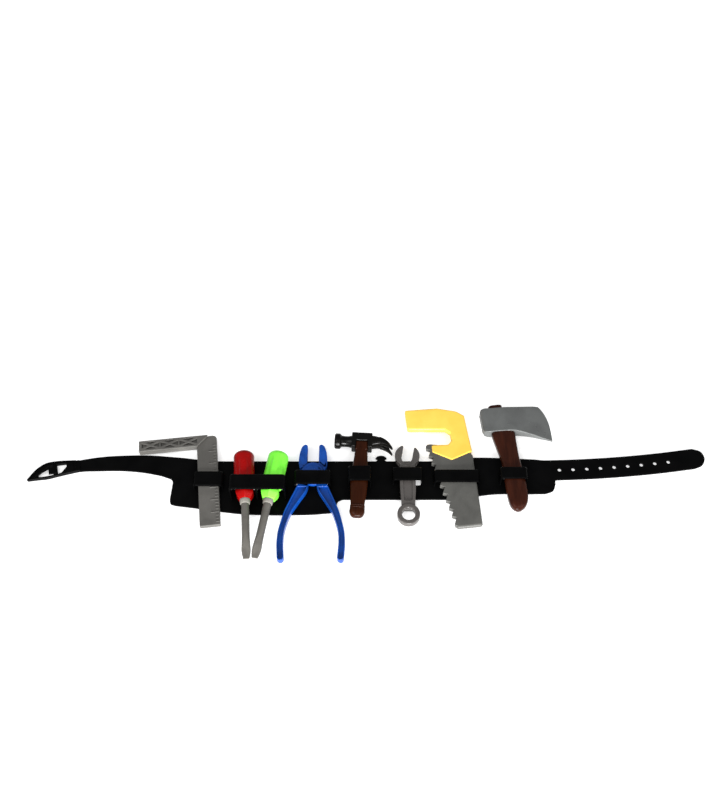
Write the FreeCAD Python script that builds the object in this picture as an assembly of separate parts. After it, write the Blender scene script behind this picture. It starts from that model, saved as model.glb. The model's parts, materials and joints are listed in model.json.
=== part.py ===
import FreeCAD, Part
import math
import os

# A child's tool belt in millimetres: belt flat on its back, tools facing +Z.
# X runs along the belt and +Y is its upper edge. Lengths below are measured
# from the middle of the belt; export moves X so that 0 is the hanging tab.

SHEET_T = 2.5          # thickness of the moulded belt sheet
FIT = 0.5              # gap under and over each tool
TOOL_Z = SHEET_T + FIT

BEND_STRAP_LEFT = -230.0
BEND_PANEL_LEFT = -83.0
BEND_PANEL_RIGHT = 76.5
BEND_STRAP_RIGHT = 223.5

TOP_Y = 26.4           # top edge of the middle of the belt
LEFT_BOTTOM_Y = -43.6
MID_BOTTOM_Y = -24.0
RIGHT_BOTTOM_Y = -17.0
LOOP_WALL = 2.0

STRAP_W = 26.5
STRAP_BEND_R = 1250.0  # sweep of the long strap in the plane of the belt
STRAP_SLOPE = 0.02
STRAP_START_X = 214.0
STRAP_START_Y = 14.5
STRAP_END_X = 387.0
HOLE_R = 2.1
HOLE_PITCH = 16.1
HOLE_FIRST_X = 228.0
HOLE_COUNT = 9

BUCKLE_X = -335.0
BUCKLE_Y = 18.0
BUCKLE_TURN = 14.0
STRAP_END_HIGH = 9.0   # where the strap meets the frame, across the buckle
STRAP_END_LOW = -6.0
BUCKLE_T = 5.0
BAR_R = 1.6
PIN_FIT = 0.05         # radial clearance of a turning pin
EYE_WALL = 1.2
TAB_X = 20.0

SQUARE_AT = (-179.5, -3.0)
SQUARE_TURN = 6.5
SQUARE_ARM_LEFT = -79.0
SQUARE_ARM_LOW = 46.0
SQUARE_ARM_HIGH = 60.0
SQUARE_ARM_T = 9.0
SQUARE_BLADE_W = 23.4
SQUARE_BLADE_T = 6.0
SQUARE_BLADE_BOTTOM = -57.5

DRIVER_Y = -12.0
DRIVER_R = 12.0
DRIVER_Z = TOOL_Z + FIT + DRIVER_R
RED_X = -136.2
RED_TURN = 4.6
GREEN_X = -105.5
GREEN_TURN = -9.2

PLIERS_AT = (-59.2, 6.0)
PLIERS_T = 9.0
PLIERS_LAP = 0.4
PLIERS_DISC_R = 13.5
PIN_R = 3.0

HAMMER_AT = (-5.0, 3.0)
HAMMER_TURN = -3.5
HAMMER_FACE_R = 9.2
HAMMER_Z = TOOL_Z + HAMMER_FACE_R + 0.3
HAMMER_HANDLE_T = 11.0

WRENCH_AT = (50.5, 3.0)
WRENCH_T = 8.0
WRENCH_JAW_R = 14.5
WRENCH_GAP = 12.5
WRENCH_RING_R = 13.0
WRENCH_BORE_R = 7.6
WRENCH_JAW_TURN = -10.0

SAW_AT = (107.0, 1.5)
SAW_TURN = 4.0
SAW_HANDLE_T = 8.0
SAW_BLADE_T = 6.4
TOOTH_COUNT = 10
TOOTH_DEPTH = 4.8

AXE_AT = (172.5, 6.5)
AXE_TURN = 8.0
AXE_POLL_T = 14.0
AXE_EDGE_T = 2.4
AXE_HANDLE_T = 12.0
AXE_Z = TOOL_Z + AXE_POLL_T / 2


def vec(x, y, z=0.0):
    return FreeCAD.Vector(x, y, z)


def line(a, b):
    return Part.LineSegment(vec(*a), vec(*b)).toShape()


def curve(points):
    """A smooth edge through a few points."""
    spline = Part.BSplineCurve()
    spline.interpolate([vec(*p) for p in points])
    return spline.toShape()


def block_from(edges, z, height):
    """Solid standing on a closed outline of edges."""
    face = Part.Face(Part.Wire(edges))
    solid = face.extrude(vec(0, 0, height))
    solid.translate(vec(0, 0, z))
    return solid


def plate(points, z, height):
    """Solid standing on a straight-sided outline."""
    wire = Part.makePolygon([vec(*p) for p in points + points[:1]])
    solid = Part.Face(wire).extrude(vec(0, 0, height))
    solid.translate(vec(0, 0, z))
    return solid


def box(x0, x1, y0, y1, z0, z1):
    return Part.makeBox(x1 - x0, y1 - y0, z1 - z0, vec(x0, y0, z0))


def disc(x, y, radius, z, height):
    return Part.makeCylinder(radius, height, vec(x, y, z))


def upright_edges(solid):
    """Straight edges that run along Z."""
    found = []
    for edge in solid.Edges:
        ends = [v.Point for v in edge.Vertexes]
        if len(ends) == 2:
            run = ends[1] - ends[0]
            if abs(run.x) < 1e-6 and abs(run.y) < 1e-6:
                found.append(edge)
    return found


def round_upright(solid, radius):
    return solid.makeFillet(radius, upright_edges(solid))


def round_face_edges(solid, radius, z):
    """Round the rim of the flat face at height z."""
    rim = []
    for edge in solid.Edges:
        if abs(edge.BoundBox.ZMin - z) < 1e-4 and abs(edge.BoundBox.ZMax - z) < 1e-4:
            rim.append(edge)
    return solid.makeFillet(radius, rim)


def place(solid, at, turn):
    """Turn about Z and move from the tool's own frame to its loop."""
    moved = solid.copy()
    moved.rotate(vec(0, 0), vec(0, 0, 1), turn)
    moved.translate(vec(at[0], at[1]))
    return moved


def export(solid, name):
    moved = solid.copy()
    moved.translate(vec(-TAB_X, 0))
    moved.exportStep("parts/" + name + ".step")


# ---- belt sheet ----

# centre X, centre Y, inner width, top of the tool, length along Y
LOOPS = {
    "square": (SQUARE_AT[0], -1.5, 31.0, TOOL_Z + SQUARE_BLADE_T, 19.0),
    "pliers": (PLIERS_AT[0], -1.7, 39.0, TOOL_Z + PLIERS_T + 1.6, 18.0),
    "hammer": (HAMMER_AT[0], 1.0, 23.0, HAMMER_Z + HAMMER_HANDLE_T / 2, 19.0),
    "wrench": (WRENCH_AT[0], 4.0, 31.0, TOOL_Z + WRENCH_T, 17.0),
    "saw": (SAW_AT[0], 1.2, 49.0, TOOL_Z + SAW_HANDLE_T, 16.0),
    "axe": (AXE_AT[0], 2.5, 28.0, AXE_Z + AXE_HANDLE_T / 2, 15.0),
}
# X from, X to, Y from, Y to of each opening in the sheet
WINDOWS = {
    "square": (-194.0, -165.0, -6.5, 7.5),
    "red": (-149.2, -124.6, -11.4, -5.8),
    "green": (-118.8, -92.0, -11.4, -5.8),
    "pliers": (-78.0, -42.0, -6.0, 6.5),
    "hammer": (-15.5, 5.5, 0.5, 10.0),
    "wrench": (44.5, 65.6, -5.5, 12.0),
    "saw": (83.5, 130.5, -1.0, 9.0),
    "axe": (159.5, 185.5, 3.0, 9.6),
}
DRIVER_POST_X = -122.0
DRIVER_POST_W = 2.4
DRIVER_LOOP_X = (-151.0, -91.0)
DRIVER_LOOP_Y = (-25.0, -6.0)
DRIVER_LOOP_TOP = DRIVER_Z + DRIVER_R + FIT


def window(name):
    """Opening in the sheet behind one loop."""
    x0, x1, y0, y1 = WINDOWS[name]
    return round_upright(box(x0, x1, y0, y1, -1.0, SHEET_T + 1.0), 1.5)


def panel_left():
    x0 = BEND_STRAP_LEFT
    x1 = BEND_PANEL_LEFT
    edges = [
        curve([(x0, 32.6), (-213, 31.0), (-197, 29.0), (-172, TOP_Y)]),
        line((-172, TOP_Y), (x1, TOP_Y)),
        line((x1, TOP_Y), (x1, LEFT_BOTTOM_Y)),
        curve([(x1, LEFT_BOTTOM_Y), (-141, -42.2), (-188, -35.6), (-216, -31.8)]),
        curve([(-216, -31.8), (-221.4, -29.6), (-222.8, -25)]),
        line((-222.8, -25), (-221.4, -1.5)),
        curve([(-221.4, -1.5), (-223.0, 1.6), (x0, 5.0)]),
        line((x0, 5.0), (x0, 32.6)),
    ]
    sheet = block_from(edges, 0.0, SHEET_T)
    return sheet.cut([window("square"), window("red"), window("green")])


def panel_mid():
    x0 = BEND_PANEL_LEFT
    x1 = BEND_PANEL_RIGHT
    edges = [
        line((x0, TOP_Y), (x1, TOP_Y)),
        line((x1, TOP_Y), (x1, MID_BOTTOM_Y)),
        line((x1, MID_BOTTOM_Y), (-25, MID_BOTTOM_Y)),
        curve([(-25, MID_BOTTOM_Y), (-29.5, -26.5), (-32.5, -36), (-38, -41.2)]),
        curve([(-38, -41.2), (-58, -43.0), (x0, LEFT_BOTTOM_Y)]),
        line((x0, LEFT_BOTTOM_Y), (x0, TOP_Y)),
    ]
    sheet = block_from(edges, 0.0, SHEET_T)
    return sheet.cut([window("pliers"), window("hammer"), window("wrench")])


def strap_centre_y(x):
    run = x - STRAP_START_X
    return STRAP_START_Y + STRAP_SLOPE * run + run * run / (2 * STRAP_BEND_R)


def panel_right():
    x0 = BEND_PANEL_RIGHT
    x1 = BEND_STRAP_RIGHT
    strap_low = strap_centre_y(x1) - STRAP_W / 2
    strap_high = strap_centre_y(x1) + STRAP_W / 2
    edges = [
        curve([(x0, TOP_Y), (92, 27.6), (112, 30.4), (135, 31.4), (165, 30.6), (201, 28.8)]),
        curve([(201, 28.8), (209, 27.8), (x1, strap_high)]),
        line((x1, strap_high), (x1, strap_low)),
        line((x1, strap_low), (222, strap_low)),
        line((222, strap_low), (221.8, -4)),
        curve([(221.8, -4), (218.4, -12.4), (209, RIGHT_BOTTOM_Y + 0.5)]),
        line((209, RIGHT_BOTTOM_Y + 0.5), (150, RIGHT_BOTTOM_Y)),
        curve([(150, RIGHT_BOTTOM_Y), (131, -19.4), (112, -23.0), (95, MID_BOTTOM_Y)]),
        line((95, MID_BOTTOM_Y), (x0, MID_BOTTOM_Y)),
        line((x0, MID_BOTTOM_Y), (x0, TOP_Y)),
    ]
    sheet = block_from(edges, 0.0, SHEET_T)
    return sheet.cut([window("saw"), window("axe")])


def strap_right():
    x0 = BEND_STRAP_RIGHT
    half = STRAP_W / 2
    stops = [x0 + (STRAP_END_X - x0) * i / 4.0 for i in range(5)]
    top = [(x, strap_centre_y(x) + half) for x in stops]
    low = [(x, strap_centre_y(x) - half) for x in reversed(stops)]
    end_y = strap_centre_y(STRAP_END_X) + 1.0
    nose = Part.Arc(vec(*top[-1]), vec(STRAP_END_X + half, end_y), vec(*low[0])).toShape()
    edges = [curve(top), nose, curve(low), line(low[-1], top[0])]
    sheet = block_from(edges, 0.0, SHEET_T)
    holes = []
    for i in range(HOLE_COUNT):
        x = HOLE_FIRST_X + HOLE_PITCH * i
        holes.append(disc(x, strap_centre_y(x), HOLE_R, -1.0, SHEET_T + 2.0))
    return sheet.cut(holes)


def strap_left():
    x1 = BEND_STRAP_LEFT
    lean = math.radians(BUCKLE_TURN)
    across_x = -math.sin(lean)
    across_y = math.cos(lean)
    high = (BUCKLE_X + STRAP_END_HIGH * across_x, BUCKLE_Y + STRAP_END_HIGH * across_y)
    low = (BUCKLE_X + STRAP_END_LOW * across_x, BUCKLE_Y + STRAP_END_LOW * across_y)
    edges = [
        curve([high, (-308, 32.2), (-278, 34.2), (-250, 34.2), (x1, 32.6)]),
        line((x1, 32.6), (x1, 5.0)),
        curve([(x1, 5.0), (-250, 10.2), (-278, 13.6), (-308, 13.6), low]),
        line(low, high),
    ]
    return block_from(edges, 0.0, SHEET_T)


def hang_tab():
    """Mushroom-shaped tab on the top edge."""
    cx = TAB_X
    edges = [
        line((cx - 6.5, TOP_Y), (cx + 6.5, TOP_Y)),
        curve([(cx + 6.5, TOP_Y), (cx + 4.2, TOP_Y + 1.8), (cx + 6.8, TOP_Y + 3.6)]),
        curve([(cx + 6.8, TOP_Y + 3.6), (cx, TOP_Y + 7.6), (cx - 6.8, TOP_Y + 3.6)]),
        curve([(cx - 6.8, TOP_Y + 3.6), (cx - 4.2, TOP_Y + 1.8), (cx - 6.5, TOP_Y)]),
    ]
    return block_from(edges, 0.0, SHEET_T)


def arch(x0, x1, y0, y1, z1, wall):
    """Band over a tool, open along Y, with rounded shoulders."""
    outer = box(x0 - wall, x1 + wall, y0, y1, SHEET_T, z1 + wall)
    inner = box(x0, x1, y0 - 1, y1 + 1, SHEET_T - 1, z1)
    outer = round_shoulders(outer, 4.0, z1 + wall)
    inner = round_shoulders(inner, 2.2, z1)
    return outer.cut(inner)


def round_shoulders(solid, radius, z):
    """Round the two edges that run along Y at height z."""
    rim = []
    for edge in solid.Edges:
        bounds = edge.BoundBox
        level = abs(bounds.ZMin - z) < 1e-6 and abs(bounds.ZMax - z) < 1e-6
        if level and bounds.YLength > bounds.XLength:
            rim.append(edge)
    return solid.makeFillet(radius, rim)


def tool_loop(name):
    cx, cy, width, top, height = LOOPS[name]
    x0 = cx - width / 2
    x1 = cx + width / 2
    return arch(x0, x1, cy - height / 2, cy + height / 2, top + FIT, LOOP_WALL)


def driver_loop():
    """One long band with a post between the two screwdrivers."""
    y0, y1 = DRIVER_LOOP_Y
    band = arch(DRIVER_LOOP_X[0], DRIVER_LOOP_X[1], y0, y1, DRIVER_LOOP_TOP, LOOP_WALL)
    half = DRIVER_POST_W / 2
    post = box(DRIVER_POST_X - half, DRIVER_POST_X + half, y0, y1, SHEET_T, DRIVER_LOOP_TOP + 0.5)
    return band.fuse(post).removeSplitter()


# ---- buckle ----

BAR_X = -25.0
BAR_Z = 3.0
BAR_L = 16.1
BAR_LOW_Y = -5.6
HUB_L = 11.0
HUB_LOW_Y = -3.6
PRONG_T = 1.5


def buckle_frame():
    """Narrow leaf-shaped frame with a round bar across its opening."""
    edges = [
        curve([(0, STRAP_END_HIGH), (-5.5, 10.0), (-21.8, 13.0), (-34.6, 13.2), (-45.9, 8.0), (-57, -2.2)]),
        curve([(-57, -2.2), (-58.3, -3.6), (-57, -4.6)]),
        curve([(-57, -4.6), (-46.4, -5.6), (-35.3, -6.9), (-20.7, -6.4), (-10, -6.1), (0, STRAP_END_LOW)]),
        line((0, STRAP_END_LOW), (0, STRAP_END_HIGH)),
    ]
    frame = block_from(edges, 0.0, BUCKLE_T)
    hole = plate([
        (-11.6, 2.8), (-11.6, 7.6), (-17.4, 8.1), (-24.0, 8.6), (-31.9, 8.6), (-38.0, 5.1), (-44.5, 0.6),
        (-44.6, -3.8), (-38.9, -4.4), (-27.0, -4.7), (-23.5, -4.6), (-18.1, -3.8)], -1.0, BUCKLE_T + 2.0)
    frame = frame.cut(round_upright(hole, 0.8))
    bar = Part.makeCylinder(BAR_R, BAR_L, vec(BAR_X, BAR_LOW_Y, BAR_Z), vec(0, 1, 0))
    rest = plate([(-40.5, -0.5), (-42.0, 3.2), (-49.6, 0.1), (-48.1, -3.6)], BUCKLE_T - 1.0, 2.0)
    return place(frame.cut(rest).fuse(bar), (BUCKLE_X, BUCKLE_Y), BUCKLE_TURN)


def buckle_prong():
    """Prong: one wide eye on the bar, a plate beside it and a slanted tongue on the rim."""
    z0 = BUCKLE_T - 0.7
    eye = Part.makeCylinder(BAR_R + PIN_FIT + EYE_WALL, HUB_L, vec(BAR_X, HUB_LOW_Y, BAR_Z), vec(0, 1, 0))
    high_y = HUB_LOW_Y + HUB_L
    cover = plate([(-32.5, HUB_LOW_Y), (BAR_X, HUB_LOW_Y), (BAR_X, high_y), (-32.5, high_y)], z0, PRONG_T)
    tongue = plate([(-32.0, 3.6), (-32.0, 6.6), (-47.6, -0.1), (-48.6, -1.2), (-47.4, -2.1)], z0, PRONG_T)
    bore = Part.makeCylinder(BAR_R + PIN_FIT, BAR_L + 4, vec(BAR_X, BAR_LOW_Y - 2, BAR_Z), vec(0, 1, 0))
    prong = eye.multiFuse([cover, tongue]).cut(bore).removeSplitter()
    return place(prong, (BUCKLE_X, BUCKLE_Y), BUCKLE_TURN)


# ---- square ----

def square_arm():
    """Stock of the square, mitred at the corner, with a truss sunk in its face."""
    low = SQUARE_ARM_LOW
    high = SQUARE_ARM_HIGH
    start = -SQUARE_BLADE_W / 2
    top = TOOL_Z + SQUARE_ARM_T
    body = plate([(SQUARE_ARM_LEFT, low), (start, low), (start + high - low, high), (SQUARE_ARM_LEFT, high)],
                 TOOL_Z, SQUARE_ARM_T)
    bays = 3
    first = SQUARE_ARM_LEFT + 2.5
    pitch = (start + 1.5 - first) / bays
    mid_y = (low + high) / 2
    pockets = []
    for i in range(bays):
        a = first + pitch * i + 0.8
        b = first + pitch * (i + 1) - 0.8
        mid = (a + b) / 2
        pockets.append([(a + 3.0, low + 2.4), (b - 3.0, low + 2.4), (mid, mid_y - 1.2)])
        pockets.append([(a + 3.0, high - 2.0), (mid, mid_y + 1.4), (b - 3.0, high - 2.0)])
        pockets.append([(a, low + 3.8), (mid - 3.0, mid_y), (a, high - 3.4)])
        pockets.append([(b, low + 3.8), (b, high - 3.4), (mid + 3.0, mid_y)])
    body = body.cut([plate(points, top - 1.4, 2.0) for points in pockets])
    return place(body, SQUARE_AT, SQUARE_TURN)


def square_blade():
    """Rule of the square, mitred under the stock, with its scale cut along one edge."""
    half = SQUARE_BLADE_W / 2
    high = SQUARE_ARM_HIGH
    top = TOOL_Z + SQUARE_BLADE_T
    body = plate([
        (-half, SQUARE_BLADE_BOTTOM), (half, SQUARE_BLADE_BOTTOM), (half, high - 4.0), (half - 1.2, high - 1.4),
        (half - 3.8, high), (high - SQUARE_ARM_LOW - half, high), (-half, SQUARE_ARM_LOW)],
        TOOL_Z, SQUARE_BLADE_T)
    ticks = []
    for i in range(1, 24):
        y = SQUARE_BLADE_BOTTOM + 4.0 * i
        reach = 9.0 if i % 4 == 0 else 4.5
        ticks.append(box(half - reach, half + 1, y - 0.4, y + 0.4, top - 0.5, top + 1))
    return place(body.cut(ticks), SQUARE_AT, SQUARE_TURN)


# ---- screwdrivers ----

DRIVER_TOP = 41.8
DRIVER_SHOULDER_R = 6.5
DRIVER_GRIP_END = -5.0
DRIVER_NECK_END = -19.4
COLLAR_R = 6.2
COLLAR_END = -25.2
SHAFT_R = 4.5
SHAFT_END = -92.4


def along_y(profile):
    """Solid of revolution about Y from (radius, y) points."""
    points = [(0.0, profile[0][1])] + profile + [(0.0, profile[-1][1])]
    wire = Part.makePolygon([vec(*p) for p in points + points[:1]])
    return Part.Face(wire).revolve(vec(0, 0), vec(0, 1, 0), 360)


def driver_handle():
    """Grip with a rounded end, six shallow flutes and a faceted bolster."""
    r = DRIVER_R
    body = Part.makeCylinder(r, DRIVER_TOP - DRIVER_GRIP_END, vec(0, DRIVER_GRIP_END, 0), vec(0, 1, 0))
    crown = [edge for edge in body.Edges if abs(edge.BoundBox.YMin - DRIVER_TOP) < 1e-6]
    body = body.makeFillet(DRIVER_SHOULDER_R, crown)
    flutes = []
    flute_l = DRIVER_TOP - DRIVER_SHOULDER_R - DRIVER_GRIP_END - 1
    for i in range(6):
        angle = math.radians(60 * i)
        reach = r + 4.0
        centre = vec(math.cos(angle) * reach, DRIVER_GRIP_END - 1, math.sin(angle) * reach)
        flutes.append(Part.makeCylinder(4.8, flute_l, centre, vec(0, 1, 0)))
    body = body.cut(flutes)
    sizes = [(9.4, DRIVER_GRIP_END), (10.8, -8.4), (10.4, -13.0), (7.6, DRIVER_NECK_END)]
    rings = [hexagon(radius, y) for radius, y in sizes]
    return body.fuse(Part.makeLoft(rings, True, True))


def hexagon(radius, y):
    points = []
    for i in range(7):
        angle = math.radians(60 * i + 30)
        points.append(vec(radius * math.cos(angle), y, radius * math.sin(angle)))
    return Part.makePolygon(points)


def driver_collar():
    return along_y([(COLLAR_R, DRIVER_NECK_END), (COLLAR_R - 0.8, COLLAR_END)])


def driver_shaft():
    """Round rod flattened to a blade at the end."""
    rod = along_y([(SHAFT_R, COLLAR_END), (SHAFT_R, -76.0), (5.2, -82.0), (3.4, SHAFT_END)])
    taper = Part.makePolygon([
        vec(0, -68, 6), vec(0, -68, -6), vec(0, SHAFT_END - 1, -1.0), vec(0, SHAFT_END - 1, 1.0),
        vec(0, -68, 6)])
    wedge = Part.Face(taper).extrude(vec(20, 0, 0))
    wedge.translate(vec(-10, 0, 0))
    top = box(-10, 10, -68, COLLAR_END + 1, -6, 6)
    return rod.common(wedge.fuse(top))


def seat_driver(solid, x, turn):
    raised = solid.copy()
    raised.translate(vec(0, 0, DRIVER_Z))
    return place(raised, (x, DRIVER_Y), turn)


# ---- pliers ----

def pliers_limb(side):
    """Jaw on one side and the crossed handle on the other."""
    s = side
    jaw = block_from([
        curve([(s * 13.0, 2), (s * 16.2, 10), (s * 16.4, 20), (s * 15.0, 29), (s * 12.0, 36)]),
        curve([(s * 12.0, 36), (s * 9.8, 37.4), (s * 7.4, 36.8), (s * 6.6, 35)]),
        line((s * 6.6, 35), (s * 6.6, 8)),
        line((s * 6.6, 8), (s * 5.0, 2)),
        line((s * 5.0, 2), (s * 13.0, 2)),
    ], TOOL_Z, PLIERS_T)
    h = -s
    handle = block_from([
        curve([(h * 12.4, -3), (h * 14.5, -8), (h * 18.2, -18), (h * 26.0, -36.6), (h * 31.0, -49.3),
               (h * 34.4, -62), (h * 37.2, -75), (h * 38.1, -87), (h * 37.2, -106)]),
        curve([(h * 37.2, -106), (h * 33.3, -110.2), (h * 29.4, -106)]),
        curve([(h * 29.4, -106), (h * 30.8, -87), (h * 30.2, -76), (h * 26.6, -60.5), (h * 22.3, -49.3),
               (h * 15.4, -37.2), (h * 8.2, -26.5), (h * 4.6, -17), (h * 3.6, -3)]),
        line((h * 3.6, -3), (h * 12.4, -3)),
    ], TOOL_Z, PLIERS_T)
    return jaw.fuse(handle)


def pliers_half(side, lower):
    """One half: full thickness limbs, half thickness at the pivot."""
    mid = TOOL_Z + PLIERS_T / 2
    half_gap = PLIERS_LAP / 2
    limb = pliers_limb(side)
    if lower:
        own_z = TOOL_Z
        other_z = mid - half_gap
        bore_r = PIN_R
    else:
        own_z = mid + half_gap
        other_z = TOOL_Z - 1.0
        bore_r = PIN_R + PIN_FIT
    lap = PLIERS_T / 2 - half_gap
    clearing = disc(0, 0, PLIERS_DISC_R + 0.5, other_z, lap + 1.0 + PLIERS_LAP)
    limb = limb.cut(clearing)
    limb = limb.fuse(disc(0, 0, PLIERS_DISC_R, own_z, lap))
    limb = limb.cut(disc(0, 0, bore_r, TOOL_Z - 1, PLIERS_T + 2))
    return place(limb, PLIERS_AT, 0)


def pliers_pin():
    top = TOOL_Z + PLIERS_T
    shank = disc(0, 0, PIN_R, TOOL_Z, PLIERS_T + 0.2)
    cap = disc(0, 0, 5.0, top + 0.15, 1.1)
    return place(shank.fuse(cap), PLIERS_AT, 0)


# ---- hammer ----

HEAD_Y = 43.0
CHEEK_H = 9.5
CHEEK_X = 12.0
CHEEK_HALF_Z = 7.6
SOCKET_HALF_X = 7.0
TENON_HALF_X = 5.6
TENON_HALF_Z = 3.6
CLAW_ROOT_X = 9.0
CLAW_END_X = 38.0


def hammer_handle():
    """Waisted grip whose square top sits in the head, with a tenon through the eye."""
    t = HAMMER_HANDLE_T
    low_edge = HEAD_Y - CHEEK_H
    right = [(7.2, low_edge), (8.3, 18.0), (9.6, 3.0), (10.2, -10.0), (9.5, -22.0), (8.2, -38.0), (8.1, -43.0),
             (8.8, -48.0)]
    left = [(-x, y) for x, y in reversed(right)]
    end = [(7.4, -53.2), (3.6, -55.4), (-3.6, -55.4), (-7.4, -53.2)]
    z0 = HAMMER_Z - t / 2
    grip = block_from([curve(right + end + left), line(left[-1], right[0])], z0, t)
    grip = round_face_edges(grip, 2.4, z0 + t)
    grip = round_face_edges(grip, 2.4, z0)
    shoulder = box(-SOCKET_HALF_X, SOCKET_HALF_X, low_edge - 4, HEAD_Y - 1, z0, z0 + t)
    tenon = box(-TENON_HALF_X, TENON_HALF_X, 0, HEAD_Y + CHEEK_H + 1.2,
                HAMMER_Z - TENON_HALF_Z, HAMMER_Z + TENON_HALF_Z)
    return place(grip.multiFuse([shoulder, tenon]).removeSplitter(), HAMMER_AT, HAMMER_TURN)


def hammer_claw():
    """Curved wedge that bends towards the handle, split by a V seen from the end."""
    z = HAMMER_Z
    claw = block_from([
        curve([(CLAW_ROOT_X, 51.0), (16, 49.5), (24, 47.0), (31, 41.4), (36.5, 32.8)]),
        line((36.5, 32.8), (35.6, 31.4)),
        curve([(35.6, 31.4), (31, 35.0), (25, 37.5), (18, 38.0), (CLAW_ROOT_X, 36.0)]),
        line((CLAW_ROOT_X, 36.0), (CLAW_ROOT_X, 51.0)),
    ], z - 9.2, 18.4)
    sides = Part.makePolygon([
        vec(CLAW_ROOT_X, 0, z - 7.0), vec(CLAW_ROOT_X, 0, z + 7.0), vec(CLAW_END_X, 0, z + 9.2),
        vec(CLAW_END_X, 0, z + 5.4), vec(19.0, 0, z), vec(CLAW_END_X, 0, z - 5.4),
        vec(CLAW_END_X, 0, z - 9.2), vec(CLAW_ROOT_X, 0, z - 7.0)])
    return claw.common(Part.Face(sides).extrude(vec(0, 80, 0)))


def hammer_head():
    """Round striking face, neck and cheek on one side, claw on the other."""
    y = HEAD_Y
    z = HAMMER_Z
    face = Part.makeCylinder(HAMMER_FACE_R, 7.4, vec(-32.0, y, z), vec(1, 0, 0))
    rim = [e for e in face.Edges if e.BoundBox.XLength < 1e-6]
    face = face.makeChamfer(1.0, rim)
    neck = Part.makeCone(6.8, 6.2, 16.0, vec(-26.0, y, z), vec(1, 0, 0))
    cheek = box(-CHEEK_X, CHEEK_X, y - CHEEK_H, y + CHEEK_H, z - CHEEK_HALF_Z, z + CHEEK_HALF_Z)
    cheek = cheek.makeFillet(2.0, cheek.Edges)
    eye = box(-TENON_HALF_X, TENON_HALF_X, y - 20, y + 20, z - TENON_HALF_Z, z + TENON_HALF_Z)
    socket = box(-SOCKET_HALF_X, SOCKET_HALF_X, y - 20, y - 1, z - 10, z + 10)
    head = face.multiFuse([neck, cheek, hammer_claw()]).cut([eye, socket]).removeSplitter()
    return place(head, HAMMER_AT, HAMMER_TURN)


# ---- wrench ----

def wrench():
    """Open jaw at the top, ring at the bottom, hollowed shank between."""
    jaw_y = 26.5
    ring_y = -49.3
    top = TOOL_Z + WRENCH_T
    jaw = disc(0, jaw_y, WRENCH_JAW_R, TOOL_Z, WRENCH_T)
    gap = box(-WRENCH_GAP / 2, WRENCH_GAP / 2, jaw_y - 4, jaw_y + 20, TOOL_Z - 1, top + 1)
    floor = disc(0, jaw_y - 4, WRENCH_GAP / 2, TOOL_Z - 1, WRENCH_T + 2)
    crown = box(-20, 20, jaw_y + 12.6, jaw_y + 20, TOOL_Z - 1, top + 1)
    mouth = gap.multiFuse([floor, crown])
    mouth.rotate(vec(0, jaw_y), vec(0, 0, 1), WRENCH_JAW_TURN)
    ring = disc(0, ring_y, WRENCH_RING_R, TOOL_Z, WRENCH_T)
    bore = disc(0, ring_y, WRENCH_BORE_R, TOOL_Z - 1, WRENCH_T + 2)
    shank = plate([(-7.8, ring_y + 6), (7.8, ring_y + 6), (9.0, -18), (9.0, jaw_y - 8), (-9.0, jaw_y - 8),
                   (-9.0, -18)], TOOL_Z + 0.8, WRENCH_T - 1.6)
    body = jaw.multiFuse([ring, shank]).cut([mouth, bore])
    channel = box(-4.8, 4.8, ring_y + 17, jaw_y - 19, top - 2.2, top)
    body = body.cut(round_upright(channel, 1.6))
    return place(body, WRENCH_AT, 0)


# ---- saw ----

SAW_Z = TOOL_Z + SAW_HANDLE_T / 2


def saw_handle():
    """C-shaped grip open to the left, with a pointed foot on the blade."""
    grip = plate([
        (-51, 67), (-52, 94), (-13, 94.6), (9, 89), (18.6, 82), (19.2, 70), (22, 32), (-3, 22), (-25, 34),
        (-25, 44), (-5, 43.4), (-0.5, 49), (-1, 58.5), (-6.5, 64)], TOOL_Z, SAW_HANDLE_T)
    grip = round_upright(grip, 2.0)
    grip = round_face_edges(grip, 1.6, TOOL_Z + SAW_HANDLE_T)
    return place(grip, SAW_AT, SAW_TURN)


def saw_blade(handle):
    """Thick tapered blade with coarse barbed teeth along its left edge."""
    upper = (-31.5, 40.0)
    lower = (-9.0, -59.2)
    run_x = (upper[0] - lower[0]) / TOOTH_COUNT
    run_y = (upper[1] - lower[1]) / TOOTH_COUNT
    points = [(22.0, 30.0), (22.4, -56.4), (20.6, -61.0), (16.5, -62.8), (-3.0, -65.0), (-7.6, -63.4), lower]
    for i in range(TOOTH_COUNT):
        points.append((lower[0] + run_x * (i + 0.72) + TOOTH_DEPTH, lower[1] + run_y * (i + 0.72)))
        points.append((lower[0] + run_x * (i + 1), lower[1] + run_y * (i + 1)))
    points += [(-31.5, 43.0), (-29.5, 45.5), (-22.0, 45.5), (10.0, 45.5)]
    blade = plate(points, SAW_Z - SAW_BLADE_T / 2, SAW_BLADE_T)
    return place(blade, SAW_AT, SAW_TURN).cut(handle)


# ---- axe ----

HAFT_TOP = 92.0
KNOB_X = (-11.4, 5.4)
AXE_EYE_X = (-10.4, 4.4)
AXE_EYE_HALF_Z = 4.4
POLL_LOW = (-21.5, 55.6)
BEARD_START = (14.6, 52.0)
POLL_HIGH = (-20.2, 87.2)
EDGE_HIGH = (48.6, 84.4)


def on_line(a, b, x):
    """Height of the line through a and b at x."""
    return a[1] + (b[1] - a[1]) * (x - a[0]) / (b[0] - a[0])


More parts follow.
